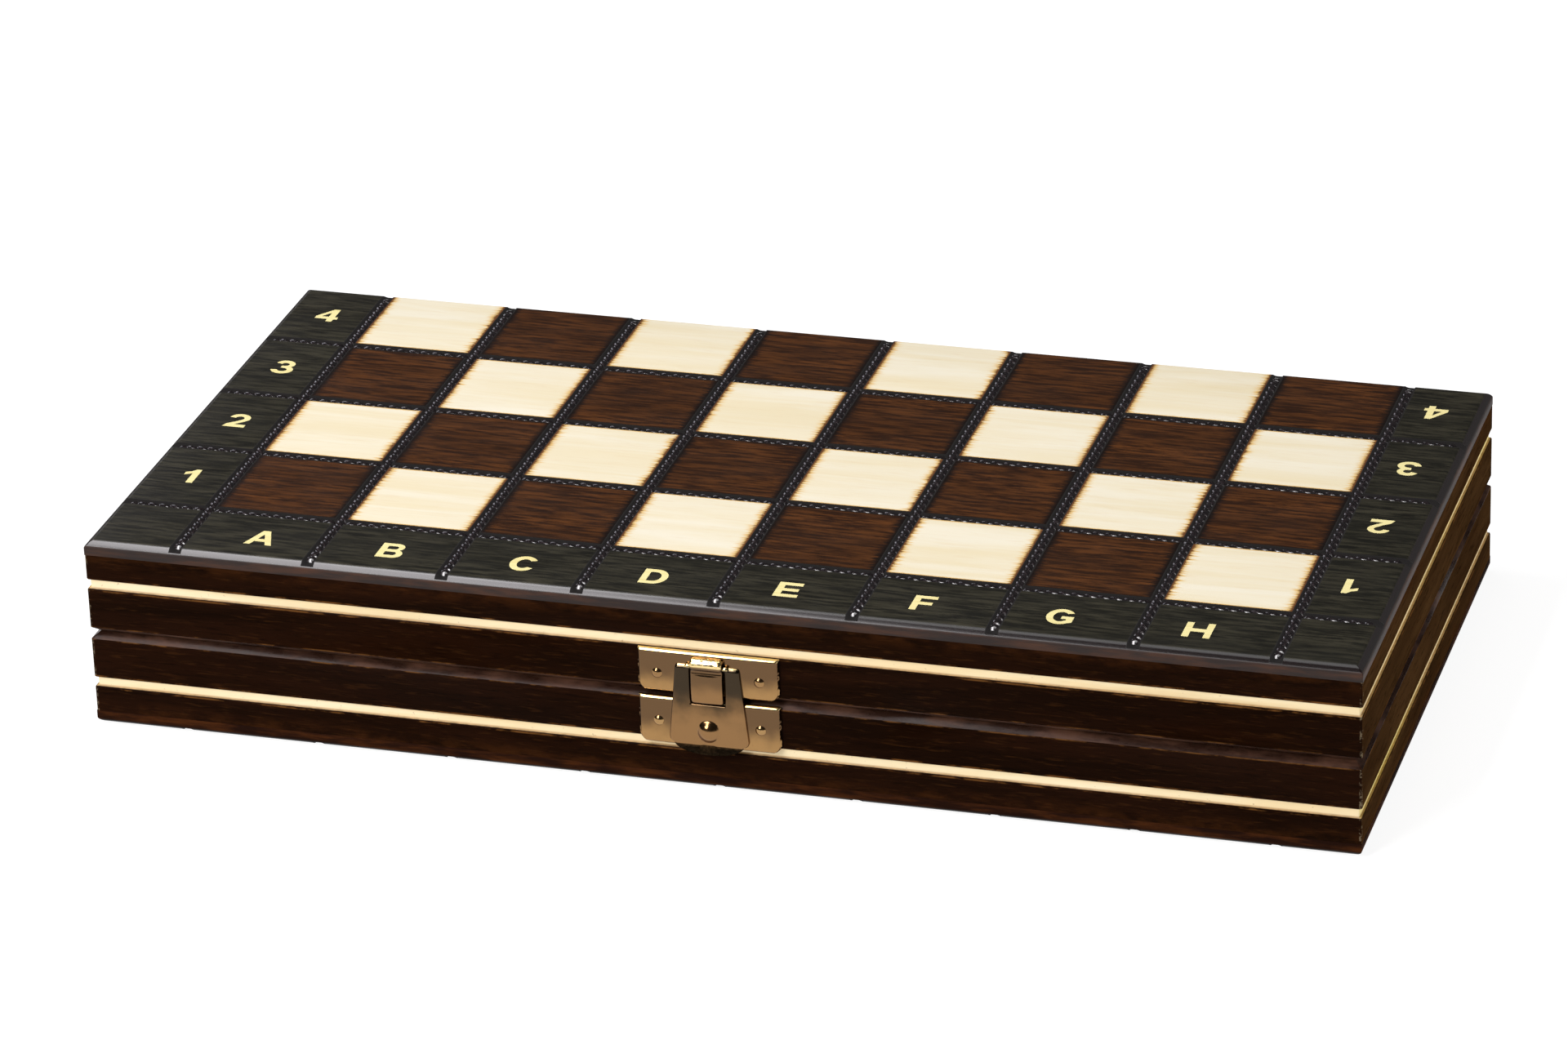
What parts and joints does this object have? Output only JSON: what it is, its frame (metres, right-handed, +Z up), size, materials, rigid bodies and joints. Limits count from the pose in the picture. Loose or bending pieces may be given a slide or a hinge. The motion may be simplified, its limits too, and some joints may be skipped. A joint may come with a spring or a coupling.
{
  "type": "chess set with board",
  "caption": "Folding wooden chess case whose two hinged leaves form the board, with a front hasp latch and the men stored inside.",
  "frame": {"origin": "bottom centre of the closed case, latch and hinge knuckles included", "axes": "+X along the case from file A to file H, +Y from the latch to the hinges, +Z up"},
  "size_m": [0.344, 0.1805, 0.054],
  "materials": {
    "board_panel": "gloss lacquer over stain, bare pale squares",
    "stained_rail": "gloss lacquer over dark stain, bare pale stripe",
    "felt": "short felt nap",
    "comb_wood": "sanded, unstained",
    "pale_men": "satin lacquer",
    "dark_men": "satin lacquer over dark stain",
    "brassed_steel": "bright plated"
  },
  "bodies": {
    "lower_leaf": {"lower_playing_panel": "board_panel", "lower_front_rail": "stained_rail", "lower_rear_rail": "stained_rail", "lower_left_rail": "stained_rail", "lower_right_rail": "stained_rail", "lower_felt_lining": "felt", "lower_storage_combs": "comb_wood", "lower_hinge_screws": "brassed_steel", "left_hinge_lower_plate": "brassed_steel", "right_hinge_lower_plate": "brassed_steel", "latch_lower_plate": "brassed_steel", "latch_lower_nails": "brassed_steel", "white_rook_1": "pale_men", "white_knight_1": "pale_men", "white_bishop_1": "pale_men", "white_queen": "pale_men", "white_king": "pale_men", "white_bishop_2": "pale_men", "white_knight_2": "pale_men", "white_rook_2": "pale_men", "white_pawn_1": "pale_men", "white_pawn_2": "pale_men", "white_pawn_3": "pale_men", "white_pawn_4": "pale_men", "white_pawn_5": "pale_men", "white_pawn_6": "pale_men", "white_pawn_7": "pale_men", "white_pawn_8": "pale_men", "left_hinge_pin": "brassed_steel", "right_hinge_pin": "brassed_steel"},
    "upper_leaf": {"upper_playing_panel": "board_panel", "upper_front_rail": "stained_rail", "upper_rear_rail": "stained_rail", "upper_left_rail": "stained_rail", "upper_right_rail": "stained_rail", "upper_felt_lining": "felt", "upper_storage_combs": "comb_wood", "upper_hinge_screws": "brassed_steel", "left_hinge_upper_plate": "brassed_steel", "right_hinge_upper_plate": "brassed_steel", "latch_upper_plate": "brassed_steel", "latch_upper_nails": "brassed_steel", "black_rook_1": "dark_men", "black_knight_1": "dark_men", "black_bishop_1": "dark_men", "black_queen": "dark_men", "black_king": "dark_men", "black_bishop_2": "dark_men", "black_knight_2": "dark_men", "black_rook_2": "dark_men", "black_pawn_1": "dark_men", "black_pawn_2": "dark_men", "black_pawn_3": "dark_men", "black_pawn_4": "dark_men", "black_pawn_5": "dark_men", "black_pawn_6": "dark_men", "black_pawn_7": "dark_men", "black_pawn_8": "dark_men"},
    "hasp": {"latch_hasp": "brassed_steel"}
  },
  "joints": [
    {"name": "lid_hinge", "type": "hinge", "parent": "lower_leaf", "child": "upper_leaf", "pos_m": [0, 0.08835, 0.027], "axis": [-1, 0, 0], "range_deg": [0, 180]},
    {"name": "hasp_pivot", "type": "hinge", "parent": "upper_leaf", "child": "hasp", "pos_m": [0, -0.08835, 0.0364], "axis": [-1, 0, 0], "range_deg": [0, 120]}
  ]
}
